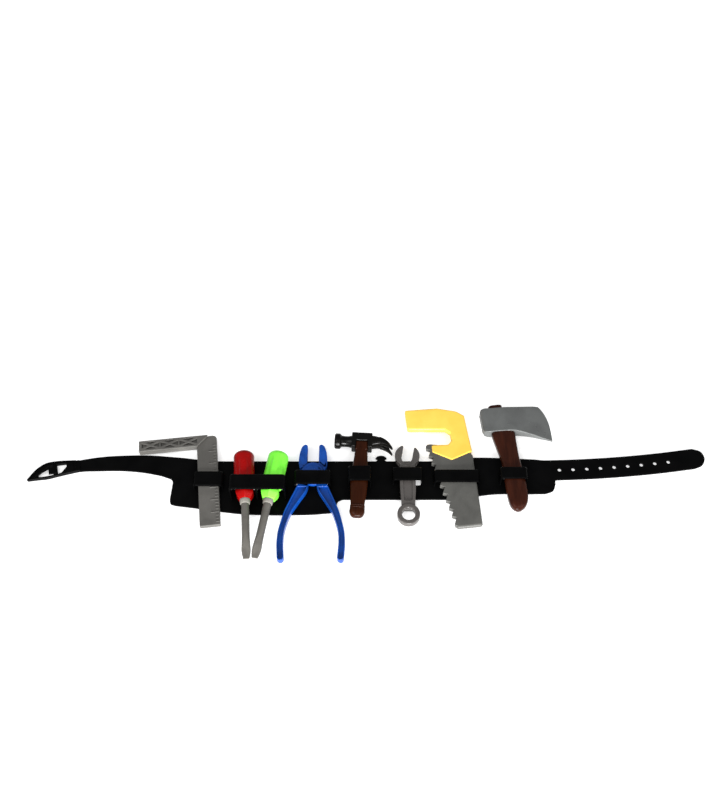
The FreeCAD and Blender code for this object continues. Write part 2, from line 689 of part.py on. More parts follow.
def axe_outline(z0, height):
    """Side view of the head as a solid: short poll, long curved edge."""
    return block_from([
        line(POLL_LOW, POLL_HIGH),
        line(POLL_HIGH, EDGE_HIGH),
        curve([EDGE_HIGH, (52.4, 77.6), (54.6, 64.0), (55.4, 50.0), (55.0, 34.4)]),
        curve([(55.0, 34.4), (43.8, 40.0), (35.0, 44.2), (26.0, 48.2), BEARD_START]),
        line(BEARD_START, POLL_LOW),
    ], z0, height)


def axe_handle():
    """Haft that widens under the head, swells at the foot and shows above the head."""
    t = AXE_HANDLE_T
    z0 = AXE_Z - t / 2
    right = [(13.2, on_line(POLL_LOW, BEARD_START, 13.2)), (12.2, 35.0), (11.2, 16.0), (11.3, 6.0),
             (11.6, -11.0), (10.6, -30.0)]
    left = [(-13.0, -35.0), (-13.0, -25.0), (-12.0, -8.0), (-10.2, 10.0), (-10.8, 19.0), (-13.0, 38.0),
            (-14.4, on_line(POLL_LOW, BEARD_START, -14.4))]
    foot = [(8.2, -39.6), (2.6, -47.2), (-4.8, -49.6), (-10.6, -45.2)]
    haft = block_from([curve(right + foot + left), line(left[-1], right[0])], z0, t)
    haft = round_face_edges(haft, 2.6, z0 + t)
    haft = round_face_edges(haft, 2.6, z0)
    k0, k1 = KNOB_X
    knob = plate([(k0, on_line(POLL_HIGH, EDGE_HIGH, k0)), (k1, on_line(POLL_HIGH, EDGE_HIGH, k1)),
                  (k1, HAFT_TOP - 1.0), (k0, HAFT_TOP)], z0, t)
    tenon = box(AXE_EYE_X[0], AXE_EYE_X[1], 20, HAFT_TOP - 2,
                AXE_Z - AXE_EYE_HALF_Z, AXE_Z + AXE_EYE_HALF_Z)
    return place(haft.multiFuse([tenon, knob]).removeSplitter(), AXE_AT, AXE_TURN)


def axe_head():
    """Wedge: thick poll around the haft, thin curved cutting edge."""
    half = AXE_POLL_T / 2
    edge = AXE_EDGE_T / 2
    back = half - 3.0
    upper = [(-21, back), (-15, half), (12, half), (56, edge)]
    corners = upper + [(x, -z) for x, z in reversed(upper)]
    side = Part.makePolygon([vec(x, 0, AXE_Z + z) for x, z in corners + corners[:1]])
    wedge = Part.Face(side).extrude(vec(0, 120, 0))
    eye = box(AXE_EYE_X[0], AXE_EYE_X[1], 20, HAFT_TOP + 5,
              AXE_Z - AXE_EYE_HALF_Z, AXE_Z + AXE_EYE_HALF_Z)
    head = axe_outline(AXE_Z - half, AXE_POLL_T).common(wedge).cut(eye)
    return place(head, AXE_AT, AXE_TURN)


def main():
    os.makedirs("parts", exist_ok=True)
    export(panel_left(), "panel_left")
    export(panel_mid(), "panel_mid")
    export(panel_right(), "panel_right")
    export(strap_left(), "strap_left")
    export(strap_right(), "strap_right")
    export(hang_tab(), "hang_tab")
    for name in LOOPS:
        export(tool_loop(name), "loop_" + name)
    export(driver_loop(), "loop_drivers")
    export(buckle_frame(), "buckle_frame")
    export(buckle_prong(), "buckle_prong")
    export(square_arm(), "square_arm")
    export(square_blade(), "square_blade")
    for name, x, turn in (("red", RED_X, RED_TURN), ("green", GREEN_X, GREEN_TURN)):
        export(seat_driver(driver_handle(), x, turn), name + "_handle")
        export(seat_driver(driver_collar(), x, turn), name + "_collar")
        export(seat_driver(driver_shaft(), x, turn), name + "_shaft")
    export(pliers_half(-1, True), "pliers_half_a")
    export(pliers_half(1, False), "pliers_half_b")
    export(pliers_pin(), "pliers_pin")
    export(hammer_handle(), "hammer_handle")
    export(hammer_head(), "hammer_head")
    export(wrench(), "wrench")
    handle = saw_handle()
    export(handle, "saw_handle")
    export(saw_blade(handle), "saw_blade")
    export(axe_handle(), "axe_handle")
    export(axe_head(), "axe_head")


main()
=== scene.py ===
import json
import math

import bmesh
import bpy
from mathutils import Matrix, Vector


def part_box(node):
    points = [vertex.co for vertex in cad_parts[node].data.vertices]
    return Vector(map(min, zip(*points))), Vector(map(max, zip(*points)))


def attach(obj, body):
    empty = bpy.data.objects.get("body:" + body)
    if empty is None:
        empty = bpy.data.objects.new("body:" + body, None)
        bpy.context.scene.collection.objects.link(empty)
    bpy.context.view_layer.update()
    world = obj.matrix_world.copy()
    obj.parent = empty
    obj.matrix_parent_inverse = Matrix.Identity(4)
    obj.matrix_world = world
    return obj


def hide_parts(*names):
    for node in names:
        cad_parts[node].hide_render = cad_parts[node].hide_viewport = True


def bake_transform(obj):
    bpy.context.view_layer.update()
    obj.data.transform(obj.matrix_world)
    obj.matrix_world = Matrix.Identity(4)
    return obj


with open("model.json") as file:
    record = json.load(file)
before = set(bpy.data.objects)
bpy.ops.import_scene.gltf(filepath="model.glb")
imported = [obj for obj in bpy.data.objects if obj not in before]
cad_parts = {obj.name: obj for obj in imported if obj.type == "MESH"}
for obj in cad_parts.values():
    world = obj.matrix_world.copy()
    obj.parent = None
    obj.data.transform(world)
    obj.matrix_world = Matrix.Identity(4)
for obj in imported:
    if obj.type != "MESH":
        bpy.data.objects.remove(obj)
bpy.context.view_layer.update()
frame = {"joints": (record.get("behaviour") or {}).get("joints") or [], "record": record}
JOINTS = {j["name"]: j for j in frame["joints"]}

MM = 0.001
EDGE = 0.6            # usual rounding of a moulded edge, mm


# ---------------------------------------------------------------- placing

def centre(node):
    low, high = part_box(node)
    return (low + high) / 2


TAB_X = 20.0          # belt outline numbers are in mm, with the hanging tab at this X
SHIFT = centre("hang_tab").x - TAB_X * MM
SHEET_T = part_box("panel_mid")[1].z / MM


class Seat:
    """A tool's own frame: mm, its long axis along Y, turned to its slide direction."""

    def __init__(self, x, y, joint=None, flip=1):
        self.x, self.y = x, y
        axis = JOINTS[joint]["axis"] if joint else (0, 1, 0)
        self.turn = math.atan2(-axis[0] * flip, axis[1] * flip)

    def matrix(self):
        return (Matrix.Translation((self.x, self.y, 0)) @ Matrix.Rotation(self.turn, 4, "Z")
                @ Matrix.Scale(MM, 4))


BELT = Seat(SHIFT, 0.0)


def seat_on_loop(tool, joint, lift):
    """The tool's own frame, its origin this many mm above the middle of its loop."""
    c = centre("loop_" + tool)
    return Seat(c.x, c.y + lift * MM, joint)


# ---------------------------------------------------------------- outlines

def smooth(points, steps=10):
    """Points along a smooth curve through the given points."""
    pts = [Vector(p) for p in points]
    knots = [0.0]
    for a, b in zip(pts, pts[1:]):
        knots.append(knots[-1] + (b - a).length)
    slopes = []
    for i in range(len(pts)):
        if i == 0:
            slopes.append((pts[1] - pts[0]) / (knots[1] - knots[0]))
        elif i == len(pts) - 1:
            slopes.append((pts[-1] - pts[-2]) / (knots[-1] - knots[-2]))
        else:
            h0 = knots[i] - knots[i - 1]
            h1 = knots[i + 1] - knots[i]
            d0 = (pts[i] - pts[i - 1]) / h0
            d1 = (pts[i + 1] - pts[i]) / h1
            slopes.append((d0 * h1 + d1 * h0) / (h0 + h1))
    out = []
    for i in range(len(pts) - 1):
        h = knots[i + 1] - knots[i]
        for k in range(steps):
            t = k / steps
            a = (2 * t - 3) * t * t + 1
            b = ((t - 2) * t + 1) * t
            c = (3 - 2 * t) * t * t
            d = (t - 1) * t * t
            out.append(a * pts[i] + b * h * slopes[i] + c * pts[i + 1] + d * h * slopes[i + 1])
    out.append(pts[-1])
    return [tuple(p) for p in out]


def area(points):
    return 0.5 * sum(a[0] * b[1] - b[0] * a[1] for a, b in zip(points, points[1:] + points[:1]))


def wound(points, sign):
    clean = []
    for p in points:
        if not clean or (Vector(p) - Vector(clean[-1])).length > 1e-4:
            clean.append(tuple(p))
    if (Vector(clean[0]) - Vector(clean[-1])).length <= 1e-4:
        clean.pop()
    return clean if area(clean) * sign > 0 else clean[::-1]


def rounded(points, radius, steps=5):
    """The polygon with each corner turned into an arc of about this radius."""
    out = []
    n = len(points)
    for i in range(n):
        p = Vector(points[i])
        a = Vector(points[i - 1]) - p
        b = Vector(points[(i + 1) % n]) - p
        half = a.angle(b) / 2
        back = min(radius / math.tan(half), a.length * 0.48, b.length * 0.48)
        s = p + a.normalized() * back
        e = p + b.normalized() * back
        for k in range(steps + 1):
            t = k / steps
            out.append(tuple((1 - t) ** 2 * s + 2 * t * (1 - t) * p + t * t * e))
    return out


def rect(x0, x1, y0, y1, radius=1.0):
    return rounded([(x0, y0), (x1, y0), (x1, y1), (x0, y1)], radius)


def circle(x, y, radius, n=40):
    return [(x + radius * math.cos(2 * math.pi * i / n), y + radius * math.sin(2 * math.pi * i / n))
            for i in range(n)]


# ---------------------------------------------------------------- meshes

def finish_mesh(name, bm, seat, material, angle=40):
    bmesh.ops.remove_doubles(bm, verts=bm.verts, dist=1e-4)
    bmesh.ops.recalc_face_normals(bm, faces=bm.faces)
    mesh = bpy.data.meshes.new(name)
    bm.to_mesh(mesh)
    bm.free()
    mesh.transform(seat.matrix())
    for poly in mesh.polygons:
        poly.use_smooth = True
    mesh.set_sharp_from_angle(angle=math.radians(angle))
    mesh.materials.append(material)
    obj = bpy.data.objects.new(name, mesh)
    bpy.context.scene.collection.objects.link(obj)
    keep = obj.modifiers.new("flat faces stay flat", "WEIGHTED_NORMAL")
    keep.keep_sharp = True
    return obj


def slab_bm(outer, holes, z0, z1, bevel=EDGE):
    """Plate with rounded rims, cut by holes, as a bmesh in mm."""
    curve = bpy.data.curves.new("outline", "CURVE")
    curve.dimensions = "2D"
    curve.fill_mode = "BOTH"
    for points, sign in [(outer, 1)] + [(h, -1) for h in holes]:
        points = wound(list(points), sign)
        spline = curve.splines.new("POLY")
        spline.points.add(len(points) - 1)
        for slot, p in zip(spline.points, points):
            slot.co = (p[0], p[1], 0, 1)
        spline.use_cyclic_u = True
    curve.extrude = (z1 - z0) / 2 - bevel
    curve.bevel_depth = bevel
    curve.bevel_resolution = 3
    curve.offset = -bevel
    holder = bpy.data.objects.new("outline", curve)
    bpy.context.scene.collection.objects.link(holder)
    bpy.context.view_layer.update()
    made = bpy.data.meshes.new_from_object(holder.evaluated_get(bpy.context.evaluated_depsgraph_get()))
    bm = bmesh.new()
    bm.from_mesh(made)
    bmesh.ops.translate(bm, verts=bm.verts, vec=(0, 0, (z0 + z1) / 2))
    bpy.data.objects.remove(holder)
    bpy.data.curves.remove(curve)
    bpy.data.meshes.remove(made)
    return bm


def join_bm(parts):
    out = bmesh.new()
    for bm in parts:
        mesh = bpy.data.meshes.new("part")
        bm.to_mesh(mesh)
        out.from_mesh(mesh)
        bpy.data.meshes.remove(mesh)
        bm.free()
    return out


def grid_bm(rows, closed=True, cap=True):
    """Skin over rows of points. Each row is a ring when closed."""
    bm = bmesh.new()
    made = [[bm.verts.new(p) for p in row] for row in rows]
    n = len(rows[0])
    for a, b in zip(made, made[1:]):
        for i in range(n if closed else n - 1):
            j = (i + 1) % n
            bm.faces.new((a[i], a[j], b[j], b[i]))
    if cap:
        bm.faces.new(made[0][::-1])
        bm.faces.new(made[-1])
    return bm


def oval(half_x, half_z, power=2.6, n=40):
    """Rounded-rectangle section as (x, z) points."""
    out = []
    for i in range(n):
        a = 2 * math.pi * i / n
        c, s = math.cos(a), math.sin(a)
        out.append((half_x * math.copysign(abs(c) ** (2 / power), c),
                    half_z * math.copysign(abs(s) ** (2 / power), s)))
    return out


def haft_bm(stations, z, power=3.0):
    """Round-edged grip through (y, left, right, half thickness) stations."""
    spine = smooth([(s[0], s[1], s[2]) for s in stations], 6)
    thick = smooth([(s[0], s[3], 0.0) for s in stations], 6)
    rows = []
    for (y, left, right), (_, half, _) in zip(spine, thick):
        mid, wide = (left + right) / 2, max((right - left) / 2, 0.05)
        rows.append([(mid + x, y, z + dz) for x, dz in oval(wide, max(half, 0.05), power)])
    return grid_bm(rows)


# ---------------------------------------------------------------- materials

def plastic(name, base, dark, rough, grain, bump, fleck=None, streak=0.0, gloss=0.5):
    """Moulded plastic: mottled colour, uneven gloss, fine grain and flow marks.

    With streak, the marks are drawn out along the tool.
    """
    mat = bpy.data.materials.new(name)
    mat.use_nodes = True
    tree = mat.node_tree
    nodes, links = tree.nodes, tree.links
    shader = nodes["Principled BSDF"]
    coord = nodes.new("ShaderNodeTexCoord")

    def noise(scale, detail, distortion=0.0, stretch=None):
        tex = nodes.new("ShaderNodeTexNoise")
        tex.inputs["Scale"].default_value = scale
        tex.inputs["Detail"].default_value = detail
        tex.inputs["Distortion"].default_value = distortion
        source = coord.outputs["Object"]
        if stretch:
            mapping = nodes.new("ShaderNodeMapping")
            mapping.inputs["Scale"].default_value = stretch
            links.new(source, mapping.inputs["Vector"])
            source = mapping.outputs["Vector"]
        links.new(source, tex.inputs["Vector"])
        return tex

    cloud = noise(45.0, 6.0, 0.4, (1.0 + streak * 0.5, 1.0, 1.0))
    ramp = nodes.new("ShaderNodeValToRGB")
    ramp.color_ramp.elements[0].position = 0.34
    ramp.color_ramp.elements[0].color = (*dark, 1)
    ramp.color_ramp.elements[1].position = 0.66
    ramp.color_ramp.elements[1].color = (*base, 1)
    links.new(cloud.outputs["Fac"], ramp.inputs["Fac"])
    colour = ramp.outputs["Color"]
    if fleck:
        speck = nodes.new("ShaderNodeTexVoronoi")
        speck.inputs["Scale"].default_value = 2600.0
        links.new(coord.outputs["Object"], speck.inputs["Vector"])
        pick = nodes.new("ShaderNodeValToRGB")
        pick.color_ramp.elements[0].position = 0.08
        pick.color_ramp.elements[0].color = (1, 1, 1, 1)
        pick.color_ramp.elements[1].position = 0.2
        pick.color_ramp.elements[1].color = (0, 0, 0, 1)
        links.new(speck.outputs["Distance"], pick.inputs["Fac"])
        mix = nodes.new("ShaderNodeMix")
        mix.data_type = "RGBA"
        mix.inputs["B"].default_value = (*fleck, 1)
        links.new(pick.outputs["Color"], mix.inputs["Factor"])
        links.new(colour, mix.inputs["A"])
        colour = mix.outputs["Result"]
    links.new(colour, shader.inputs["Base Color"])

    wear = noise(90.0, 8.0, 0.3, (1.0 + streak, 1.0, 1.0))
    sheen = nodes.new("ShaderNodeMapRange")
    sheen.inputs["From Min"].default_value = 0.3
    sheen.inputs["From Max"].default_value = 0.7
    sheen.inputs["To Min"].default_value = max(rough - 0.07, 0.05)
    sheen.inputs["To Max"].default_value = rough + 0.09
    links.new(wear.outputs["Fac"], sheen.inputs["Value"])
    links.new(sheen.outputs["Result"], shader.inputs["Roughness"])

    fine = noise(grain, 4.0)
    flow = noise(55.0, 3.0, 0.4 if streak else 1.5, (1.0 + streak, 1.0, 1.0))
    add = nodes.new("ShaderNodeMath")
    add.operation = "MULTIPLY_ADD"
    add.inputs[1].default_value = 1.6
    links.new(flow.outputs["Fac"], add.inputs[0])
    links.new(fine.outputs["Fac"], add.inputs[2])
    relief = nodes.new("ShaderNodeBump")
    relief.inputs["Strength"].default_value = bump
    relief.inputs["Distance"].default_value = 0.0002
    links.new(add.outputs["Value"], relief.inputs["Height"])
    links.new(relief.outputs["Normal"], shader.inputs["Normal"])
    shader.inputs["Specular IOR Level"].default_value = gloss
    return mat


belt_black = plastic("belt black", (0.0017, 0.0017, 0.0018), (0.0009, 0.0009, 0.0010), 0.42, 900, 0.30,
                     gloss=0.035)
loop_black = plastic("loop black", (0.0015, 0.0015, 0.0016), (0.0008, 0.0008, 0.0009), 0.28, 900, 0.20,
                     gloss=0.045)
square_grey = plastic("square grey", (0.098, 0.094, 0.086), (0.074, 0.071, 0.065), 0.40, 1200, 0.25,
                      fleck=(0.15, 0.145, 0.14), gloss=0.35)
rod_grey = plastic("rod grey", (0.125, 0.118, 0.105), (0.090, 0.084, 0.075), 0.36, 1200, 0.22,
                   fleck=(0.20, 0.19, 0.17), gloss=0.4)
collar_pale = plastic("collar pale", (0.26, 0.25, 0.22), (0.19, 0.18, 0.16), 0.38, 1200, 0.2, gloss=0.4)
red_grip = plastic("red grip", (0.29, 0.0016, 0.0016), (0.20, 0.0010, 0.0010), 0.24, 700, 0.12, gloss=0.13)
green_grip = plastic("green grip", (0.21, 0.93, 0.06), (0.17, 0.84, 0.05), 0.26, 700, 0.12, gloss=0.3)
pliers_blue = plastic("pliers blue", (0.0035, 0.060, 0.33), (0.0025, 0.034, 0.19), 0.27, 700, 0.15,
                      gloss=0.30)
hammer_black = plastic("hammer black", (0.0034, 0.0030, 0.0026), (0.0020, 0.0018, 0.0015), 0.24, 800, 0.18,
                       gloss=0.12)
hammer_brown = plastic("hammer brown", (0.028, 0.0062, 0.0014), (0.018, 0.0038, 0.0009), 0.28, 800, 0.16,
                       streak=9.0, gloss=0.10)
wrench_grey = plastic("wrench grey", (0.074, 0.067, 0.063), (0.052, 0.047, 0.044), 0.28, 1200, 0.22,
                      fleck=(0.19, 0.19, 0.19), gloss=0.45)
saw_yellow = plastic("saw yellow", (0.95, 0.62, 0.10), (0.88, 0.55, 0.075), 0.33, 700, 0.14, gloss=0.3)
blade_grey = plastic("blade grey", (0.090, 0.089, 0.082), (0.066, 0.065, 0.060), 0.40, 1200, 0.28,
                     fleck=(0.16, 0.16, 0.15), gloss=0.4)
axe_grey = plastic("axe grey", (0.105, 0.110, 0.108), (0.080, 0.083, 0.082), 0.32, 1200, 0.28,
                   fleck=(0.18, 0.19, 0.18), gloss=0.45)
axe_brown = plastic("axe brown", (0.034, 0.0080, 0.0036), (0.020, 0.0046, 0.0022), 0.22, 800, 0.15,
                    streak=9.0, gloss=0.12)


def done(obj, body, nodes):
    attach(obj, body)
    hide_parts(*nodes)
    return obj


# ---------------------------------------------------------------- belt sheet

HOLES = [m for m in frame["record"]["mounts"] if m["kind"] == "bore"]
HOLE_XY = [((m["pos_m"][0] - SHIFT) / MM, m["pos_m"][1] / MM) for m in HOLES]


STRAP_START = (214.0, 14.5)   # where the middle line of the holed strap starts to sweep
STRAP_SLOPE = 0.02
STRAP_SWEEP_R = 1250.0
STRAP_HALF_W = 13.25
STRAP_HOLE_R = 2.1


def strap_y(x):
    """Middle of the holed strap at x."""
    run = x - STRAP_START[0]
    return STRAP_START[1] + STRAP_SLOPE * run + run * run / (2 * STRAP_SWEEP_R)


def belt_outline():
    """Edge of the whole sheet: top from the buckle to the nose, then back along the bottom."""
    half = STRAP_HALF_W
    xs = [223.5, 264.4, 305.3, 346.1, 387.0]
    nose = smooth([(387.0, strap_y(387) + half), (396.8, strap_y(387) + 9.6), (400.25, strap_y(387) + 1.0),
                   (396.4, strap_y(387) - 8.4), (387.0, strap_y(387) - half)], 8)
    top = smooth([(-343.0, 25.2), (-337.2, 26.7), (-308, 32.2), (-278, 34.2), (-250, 34.2), (-230, 32.6),
                  (-213, 31.0), (-197, 29.0), (-172, 26.4)], 8)
    tab = (smooth([(13.5, 26.4), (15.8, 28.2), (13.2, 30.0)], 5)
           + smooth([(13.2, 30.0), (15.6, 32.9), (20.0, 34.0), (24.4, 32.9), (26.8, 30.0)], 6)
           + smooth([(26.8, 30.0), (24.2, 28.2), (26.5, 26.4)], 5))
    top += [(-120, 26.4), (-60, 26.4), (-10, 26.4)] + tab + [(50, 26.4)]
    top += smooth([(76.5, 26.4), (92, 27.6), (112, 30.4), (135, 31.4), (165, 30.6), (201, 28.8)], 8)
    top += smooth([(201, 28.8), (209, 27.8)] + [(x, strap_y(x) + half) for x in xs], 8)
    low = smooth([(x, strap_y(x) - half) for x in reversed(xs)], 8)
    notch = [(223.5, strap_y(223.5) - half), (221.9, strap_y(221.9) - half - 0.4), (221.8, -4)]
    low += rounded(notch, 1.0)[6:12]
    low += smooth([(221.8, -4), (218.4, -12.4), (209, -16.5)], 8)
    low += smooth([(209, -16.5), (180, -16.8), (150, -17.0), (131, -19.4), (112, -23.0), (95, -24.0)], 8)
    low += smooth([(76.5, -24), (20, -24.0), (-25, -24.0)], 6)
    low += smooth([(-25, -24.0), (-29.5, -26.5), (-32.5, -36), (-38, -41.2)], 8)
    low += smooth([(-38, -41.2), (-58, -43.0), (-83, -43.6), (-141, -42.2), (-188, -35.6), (-216, -31.8)], 8)
    low += smooth([(-216, -31.8), (-221.4, -29.6), (-222.8, -25)], 6)
    low += smooth([(-222.8, -25), (-221.4, -1.5)], 4)
    low += smooth([(-221.4, -1.5), (-223.0, 1.6), (-230, 5.0), (-250, 10.2), (-278, 13.6), (-308, 13.6),
                   (-333.6, 12.2), (-338.0, 11.2)], 8)
    return top + nose + low


def windows():
    """Slots in the sheet behind the loops: X from, X to, Y from, Y to."""
    slots = ((-194.0, -165.0, -6.5, 7.5), (-149.2, -124.6, -11.4, -5.8), (-118.8, -92.0, -11.4, -5.8),
             (-78.0, -42.0, -6.0, 6.5), (-15.5, 5.5, 0.5, 10.0), (44.5, 65.6, -5.5, 12.0),
             (83.5, 130.5, -1.0, 9.0), (159.5, 185.5, 3.0, 9.6))
    return [rect(*slot, 1.6) for slot in slots]


DRIVER_POST_X = -122.0
DRIVER_POST_HALF_W = 1.2


def build_sheet():
    """One moulded sheet, cut into lengths where it is always flat, each length with close cuts across it
    around one bend line.
    """
    bend = {name: (JOINTS[name]["pos_m"][0] - SHIFT) / MM
            for name in ("bend_buckle_end", "bend_left", "bend_right", "bend_hole_end")}
    whole = slab_bm(belt_outline(), windows() + [circle(x, y, STRAP_HOLE_R, 28) for x, y in HOLE_XY],
                    0.0, SHEET_T, 0.7)
    bmesh.ops.remove_doubles(whole, verts=whole.verts, dist=1e-4)
    # the pliers lie close above the left bend, so it is the tightest
    reach = {name: 4.0 if name == "bend_left" else 12.0 for name in bend}
    cuts = [x + reach[name] * k / 6 for name, x in bend.items() for k in range(-6, 7)]
    cuts += [-345 + 15 * i for i in range(50)]
    for x in cuts:
        geom = whole.verts[:] + whole.edges[:] + whole.faces[:]
        bmesh.ops.bisect_plane(whole, geom=geom, dist=1e-5, plane_co=(x, 0, 0), plane_no=(1, 0, 0))
    seams = (-420.0, -207.0, -20.0, 140.0, 420.0)
    plan = (
        ("belt_sheet_buckle", "bend_buckle_end", ("strap_left",)),
        ("belt_sheet_left", "bend_left", ("panel_left",)),
        ("belt_sheet_right", "bend_right", ("panel_mid", "hang_tab")),
        ("belt_sheet_holes", "bend_hole_end", ("panel_right", "strap_right")),
    )
    for i, (name, joint, nodes) in enumerate(plan):
        part = whole.copy()
        for x, side in ((seams[i], -1), (seams[i + 1], 1)):
            geom = part.verts[:] + part.edges[:] + part.faces[:]
            cut = bmesh.ops.bisect_plane(part, geom=geom, dist=1e-5, plane_co=(x, 0, 0),
                                         plane_no=(side, 0, 0), clear_outer=True)
            rim = [e for e in cut["geom_cut"] if isinstance(e, bmesh.types.BMEdge)]
            if rim:
                bmesh.ops.holes_fill(part, edges=rim, sides=0)
        obj = finish_mesh(name, part, BELT, belt_black)
        j = JOINTS[joint]
        x = j["pos_m"][0]
        side = 1 if j["axis"][1] > 0 else -1
        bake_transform(obj)
        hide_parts(*nodes)
    whole.free()


build_sheet()


# ---------------------------------------------------------------- tool loops

LOOP_WALL = 2.0
LOOP_SHOULDER_R = 3.4


def band_bm(x0, x1, y0, y1, z0, z1, wall):
    """Moulded band over a tool: a ribbed strip swept over the arch, with spread feet."""
    r = LOOP_SHOULDER_R
    top = z1 - wall / 2
    a, b = x0 + wall / 2, x1 - wall / 2
    rise = [z0 - 0.5, z0 + 0.3, z0 + 1.2, z0 + 2.4]
    rise += [z0 + 2.4 + (top - r - z0 - 2.4) * k / 4 for k in range(1, 5)]
    path = [((a, z), (-1, 0)) for z in rise]
    path += [((a + r - r * math.cos(t), top - r + r * math.sin(t)), (-math.cos(t), math.sin(t)))
             for t in [math.pi / 2 * k / 6 for k in range(1, 6)]]
    path += [((a + r + (b - a - 2 * r) * k / 12, top), (0, 1)) for k in range(13)]
    path += [((b - r + r * math.sin(t), top - r + r * math.cos(t)), (math.sin(t), math.cos(t)))
             for t in [math.pi / 2 * k / 6 for k in range(1, 6)]]
    path += [((b, z), (1, 0)) for z in reversed(rise)]
    mid, half = (y0 + y1) / 2, (y1 - y0) / 2
    rows = []
    for (x, z), (nx, nz) in path:
        foot = math.exp(-max(z - z0, 0.0) / 0.9) if abs(nx) > 0.5 else 0.0
        ring = []
        for v in [-1 + 2 * k / 28 for k in range(29)]:
            edge = max(0.0, (abs(v) - 0.88) / 0.12)
            rib = 0.22 * math.exp(-((abs(v) - 0.74) / 0.12) ** 2)
            out = wall / 2 * math.sqrt(max(1 - 0.75 * edge * edge, 0.0)) + rib + foot * 0.5 - 0.1
            ring.append((x + nx * out, mid + v * (half + foot * 0.6), z + nz * out))
        for v in [1 - 2 * k / 10 for k in range(11)]:
            edge = max(0.0, (abs(v) - 0.8) / 0.2)
            out = -wall / 2 * math.sqrt(max(1 - 0.6 * edge * edge, 0.0))
            ring.append((x + nx * out, mid + v * (half + foot * 0.6), z + nz * out))
        rows.append(ring)
    return grid_bm(rows)


def build_loops():
    bodies = {"square": "belt_left", "drivers": "belt_left", "pliers": "belt_mid", "hammer": "belt_mid",
              "wrench": "belt_mid", "saw": "belt_right", "axe": "belt_right"}
    for tool, body in bodies.items():
        low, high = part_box("loop_" + tool)
        box = ((low.x - SHIFT) / MM, (high.x - SHIFT) / MM, low.y / MM, high.y / MM,
               low.z / MM, high.z / MM)
        parts = [band_bm(*box, LOOP_WALL)]
        if tool == "drivers":
            parts.append(slab_bm(rect(DRIVER_POST_X - DRIVER_POST_HALF_W, DRIVER_POST_X + DRIVER_POST_HALF_W,
                                      box[2] + 0.6, box[3] - 0.6, 0.5),
                                 [], box[4] - 0.3, box[5] - 1.0, 0.4))
        obj = finish_mesh("loop_band_" + tool, join_bm(parts), BELT, loop_black)
        done(obj, body, ["loop_" + tool])


build_loops()


# ---------------------------------------------------------------- buckle

def build_buckle():
    joint = JOINTS["prong_turn"]
    axis = joint["axis"]
    turn = math.atan2(-axis[0], axis[1])
    bar = Vector(joint["pos_m"])
    seat = Seat(bar.x, bar.y)
    seat.turn = turn
    bar_z = bar.z / MM
    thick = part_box("buckle_frame")[1].z / MM
    # the numbers below have the bar at X = 0 and Y across the strap
    outer = (smooth([(25, 9.0), (19.5, 10.0), (3.2, 13.0), (-9.6, 13.2), (-20.9, 8.0), (-32, -2.2)], 9)
             + smooth([(-32, -2.2), (-33.3, -3.6), (-32, -4.6)], 6)
             + smooth([(-32, -4.6), (-21.4, -5.6), (-10.3, -6.9), (4.3, -6.4), (15, -6.1), (25, -6.0)], 9))
    hole = rounded([(13.4, 2.8), (13.4, 7.6), (7.6, 8.1), (1, 8.6), (-6.9, 8.6), (-13, 5.1), (-19.5, 0.6),
                    (-19.6, -3.8), (-13.9, -4.4), (-2, -4.7), (1.5, -4.6), (6.9, -3.8)], 1.0)
    lip_out = [(x * 0.985, y * 0.98) for x, y in outer]
    lip_in = [(-1.0 + (x + 1.0) * 0.93, 1.2 + (y - 1.2) * 0.90) for x, y in outer]
    groove_in = [(-1.0 + (x + 1.0) * 0.86, 1.6 + (y - 1.6) * 0.80) for x, y in outer]
    rim = slab_bm(outer, [hole], 0.0, thick - 0.9, 0.8)
    # raised lip along the outside, with a lower one beside it
    lip = slab_bm(lip_out, [lip_in], thick - 2.2, thick, 0.4)
    inner = slab_bm(groove_in, [hole], thick - 2.2, thick - 0.2, 0.3)
    rod = grid_bm([[(1.6 * math.cos(t), y, bar_z + 1.6 * math.sin(t))
                    for t in [2 * math.pi * k / 24 for k in range(24)]] for y in (-5.6, -2, 2, 6, 10.5)])
    # thin web that runs from the frame into the strap
    web = slab_bm(rounded([(21, -5.6), (21, 8.8), (28.6, 8.8), (28.6, -5.6)], 1.0), [], 0.3, 3.9, 0.5)
    obj = finish_mesh("buckle_rim", join_bm([rim, lip, inner, rod, web]), seat, loop_black)
    done(obj, "buckle_end", ["buckle_frame"])

    # prong: one wide eye on the bar, a plate with a raised border, a slanted tongue
    rows = []
    for r, y in ((1.75, -3.6), (2.5, -3.6), (2.8, -3.3), (2.8, 7.1), (2.5, 7.4), (1.75, 7.4), (1.75, -3.6)):
        rows.append([(r * math.cos(t), y,
                      bar_z + r * math.sin(t)) for t in [2 * math.pi * k / 32 for k in range(32)]])
    parts = [grid_bm(rows, cap=False)]
    parts.append(slab_bm(rect(-7.5, -0.4, -3.5, 7.3, 0.8), [], thick - 0.6, thick + 0.5, 0.35))
    parts.append(slab_bm(rect(-7.3, -0.6, -3.3, 7.1, 0.8), [rect(-5.9, -1.8, -1.9, 5.6, 0.8)], thick - 0.3,
                         thick + 0.8, 0.3))
    tongue = rounded([(-7.0, 3.6), (-7.0, 6.6), (-22.6, -0.1), (-23.6, -1.2), (-22.4, -2.1)], 0.7)
    parts.append(slab_bm(tongue, [], thick - 0.7, thick + 0.8, 0.45))
    obj = finish_mesh("prong_tongue", join_bm(parts), seat, loop_black)
    done(obj, "prong", ["buckle_prong"])


build_buckle()


# ---------------------------------------------------------------- square

